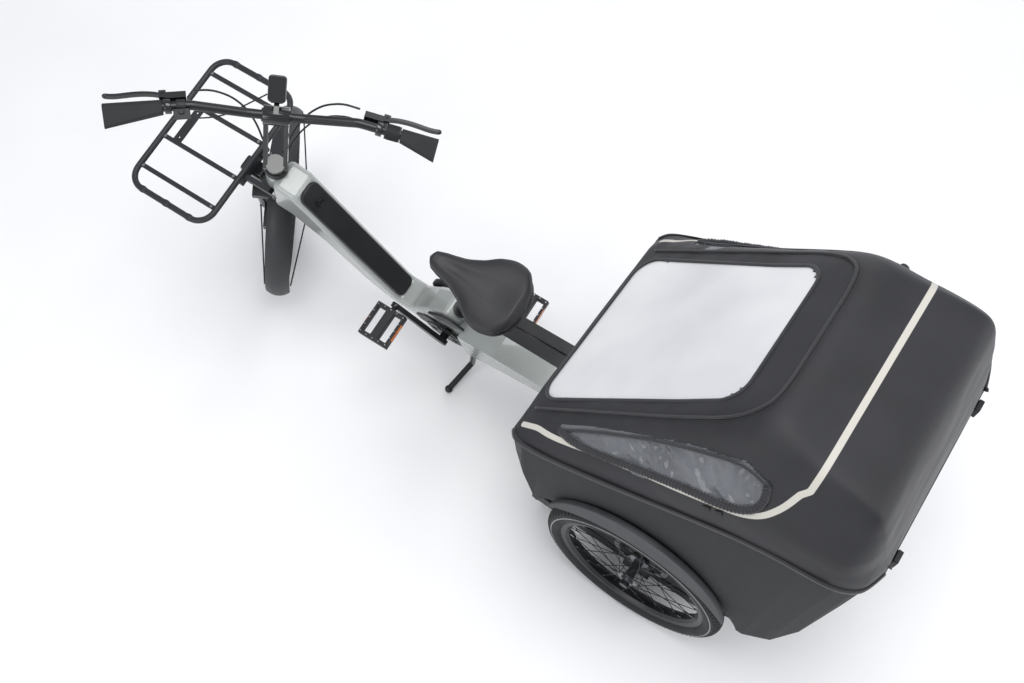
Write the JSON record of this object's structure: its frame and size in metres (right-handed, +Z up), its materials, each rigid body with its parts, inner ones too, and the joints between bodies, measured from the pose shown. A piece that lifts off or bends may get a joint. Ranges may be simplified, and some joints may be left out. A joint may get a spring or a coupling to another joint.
{
  "type": "leaning rear-box cargo tricycle",
  "caption": "Electric cargo trike: the front section leans on a low shaft, steers one wheel and carries a rack; the rear carriage holds a covered foam box between two spoked wheels.",
  "frame": {"origin": "on the ground, on the carriage mid-plane, under the middle of the overall length", "axes": "+X forward along the carriage, +Y to its left, +Z up"},
  "size_m": [2.0664, 0.8047, 1.107],
  "materials": {
    "foam": "fine grained moulded foam",
    "arch_trim": "matte",
    "corner_guard": "fine textured",
    "cover_fabric": "coated woven fabric",
    "clear_sheet": "clear flexible sheet",
    "hoop_tube": "satin black",
    "buckle": "satin",
    "cushion_fabric": "padded woven fabric",
    "red_lens": "clear red",
    "carriage_paint": "satin black",
    "caliper": "satin black",
    "tyre_rubber": "matte",
    "rim_alloy": "satin black",
    "spoke_steel": "black",
    "hub_alloy": "machined with a bare steel disc",
    "frame_paint": "gloss pale sage",
    "battery_shell": "fine textured",
    "lock_steel": "satin",
    "motor_shell": "satin",
    "cover_plastic": "satin",
    "insert_plastic": "matte",
    "rack_paint": "matte dark grey",
    "lamp": "gloss with a clear lens",
    "clamp_alloy": "satin black",
    "shaft_steel": "ground",
    "post_alloy": "satin black",
    "saddle_skin": "soft matte",
    "saddle_shell": "satin",
    "fork_paint": "satin black",
    "stem_alloy": "satin black",
    "bar_alloy": "matte black",
    "grip_rubber": "soft ribbed",
    "lever_alloy": "gloss black",
    "fender_plastic": "matte",
    "stay_steel": "black wire",
    "pod_plastic": "fine textured",
    "display_plastic": "gloss screen",
    "hose_skin": "satin",
    "crank_alloy": "satin black",
    "ring_steel": "satin black",
    "pedal_plastic": "matte with amber reflectors",
    "stand_alloy": "satin black"
  },
  "bodies": {
    "carriage": {"cargo_tub": "foam", "arch_trims": "arch_trim", "corner_guards": "corner_guard", "canopy_cover": "cover_fabric", "windscreen": "clear_sheet", "side_windows": "clear_sheet", "canopy_hoops": "hoop_tube", "hem_buckles": "buckle", "bench_cushion": "cushion_fabric", "back_cushion": "cushion_fabric", "tail_lights": "red_lens", "carriage_frame": "carriage_paint", "rear_calipers": "caliper"},
    "rear_wheel_left": {"rear_left_tyre": "tyre_rubber", "rear_left_rim": "rim_alloy", "rear_left_spokes": "spoke_steel", "rear_left_hub": "hub_alloy"},
    "rear_wheel_right": {"rear_right_tyre": "tyre_rubber", "rear_right_rim": "rim_alloy", "rear_right_spokes": "spoke_steel", "rear_right_hub": "hub_alloy"},
    "main_frame": {"frame": "frame_paint", "battery": "battery_shell", "motor": "motor_shell", "motor_cover": "cover_plastic", "frame_insert": "insert_plastic", "front_rack": "rack_paint", "headlight": "lamp", "seat_clamp": "clamp_alloy", "tilt_shaft": "shaft_steel", "spine_covers": "cover_plastic"},
    "lock": {"battery_lock": "lock_steel"},
    "seat": {"seatpost": "post_alloy", "saddle_base": "saddle_shell", "saddle_cushion": "saddle_skin"},
    "steering": {"fork": "fork_paint", "stem": "stem_alloy", "headset_cover": "stem_alloy", "handlebar": "bar_alloy", "grips": "grip_rubber", "brake_bodies": "lever_alloy", "front_fender": "fender_plastic", "fender_stays": "stay_steel", "front_caliper": "caliper", "control_pod": "pod_plastic", "control_hoses": "hose_skin"},
    "front_wheel": {"front_tyre": "tyre_rubber", "front_rim": "rim_alloy", "front_spokes": "spoke_steel", "front_hub": "hub_alloy"},
    "handlebar_display": {"display": "display_plastic"},
    "left_lever": {"brake_lever_left": "lever_alloy"},
    "right_lever": {"brake_lever_right": "lever_alloy"},
    "shifter": {"twist_shifter": "grip_rubber"},
    "button": {"pod_button": "pod_plastic"},
    "cranks": {"crankset": "crank_alloy", "chainring": "ring_steel"},
    "left_pedal": {"pedal_left": "pedal_plastic"},
    "right_pedal": {"pedal_right": "pedal_plastic"},
    "stand": {"kickstand": "stand_alloy"}
  },
  "joints": [
    {"name": "lean", "type": "hinge", "parent": "carriage", "child": "main_frame", "pos_m": [-0.231, 0, 0.22138], "axis": [0.9932, 0, -0.1166], "range_deg": [-5.8, 34.2]},
    {"name": "steer", "type": "hinge", "parent": "main_frame", "child": "steering", "pos_m": [0.66731, 0.14049, 0.6749], "axis": [-0.337, 0.2201, 0.9154], "range_deg": [0, 120]},
    {"name": "front_wheel_spin", "type": "hinge", "parent": "steering", "child": "front_wheel", "pos_m": [0.85136, -0.00051, 0.25221], "axis": [0.8007, 0.5785, 0.1557], "continuous": true},
    {"name": "rear_wheel_left_spin", "type": "hinge", "parent": "carriage", "child": "rear_wheel_left", "pos_m": [-0.601, 0.343, 0.255], "axis": [0, 1, 0], "continuous": true},
    {"name": "rear_wheel_right_spin", "type": "hinge", "parent": "carriage", "child": "rear_wheel_right", "pos_m": [-0.601, -0.343, 0.255], "axis": [0, 1, 0], "continuous": true},
    {"name": "crank_spin", "type": "hinge", "parent": "main_frame", "child": "cranks", "pos_m": [0.18758, 0.02867, 0.28629], "axis": [-0.0286, 0.9694, -0.2436], "continuous": true},
    {"name": "pedal_left_spin", "type": "hinge", "parent": "cranks", "child": "left_pedal", "pos_m": [0.31143, 0.19523, 0.3599], "axis": [-0.0286, 0.9694, -0.2436], "continuous": true},
    {"name": "pedal_right_spin", "type": "hinge", "parent": "cranks", "child": "right_pedal", "pos_m": [0.06374, -0.1379, 0.21268], "axis": [-0.0286, 0.9694, -0.2436], "continuous": true},
    {"name": "stand_fold", "type": "hinge", "parent": "main_frame", "child": "stand", "pos_m": [0.10138, 0.06155, 0.22204], "axis": [-0.0286, 0.9694, -0.2436], "range_deg": [0, 78]},
    {"name": "seat_height", "type": "slide", "parent": "main_frame", "child": "seat", "axis": [-0.2956, 0.2246, 0.9285], "range_m": [-0.05, 0]},
    {"name": "lock_turn", "type": "hinge", "parent": "main_frame", "child": "lock", "pos_m": [0.53329, 0.139, 0.6847], "axis": [-0.9333, 0.0614, 0.3539], "range_deg": [0, 90]},
    {"name": "brake_left", "type": "hinge", "parent": "steering", "child": "left_lever", "pos_m": [0.83032, 0.26766, 0.99903], "axis": [-0.0176, -0.1294, 0.9914], "range_deg": [0, 10], "stiffness_Nm_per_rad": 1.2},
    {"name": "brake_right", "type": "hinge", "parent": "steering", "child": "right_lever", "pos_m": [0.4227, -0.02685, 0.91978], "axis": [0.1223, 0.2051, -0.9711], "range_deg": [0, 10], "stiffness_Nm_per_rad": 1.2},
    {"name": "shift_twist", "type": "hinge", "parent": "steering", "child": "shifter", "pos_m": [0.38813, -0.00575, 0.91988], "axis": [0.8888, 0.4128, 0.1991], "range_deg": [-50, 50]},
    {"name": "button_press", "type": "slide", "parent": "steering", "child": "button", "axis": [0.3584, -0.2045, -0.9109], "range_m": [0, 0.0015], "stiffness_N_per_m": 400},
    {"name": "display_tilt", "type": "hinge", "parent": "steering", "child": "handlebar_display", "pos_m": [0.63127, 0.10998, 0.97364], "axis": [0.8007, 0.5785, 0.1557], "range_deg": [-15, 15]}
  ]
}
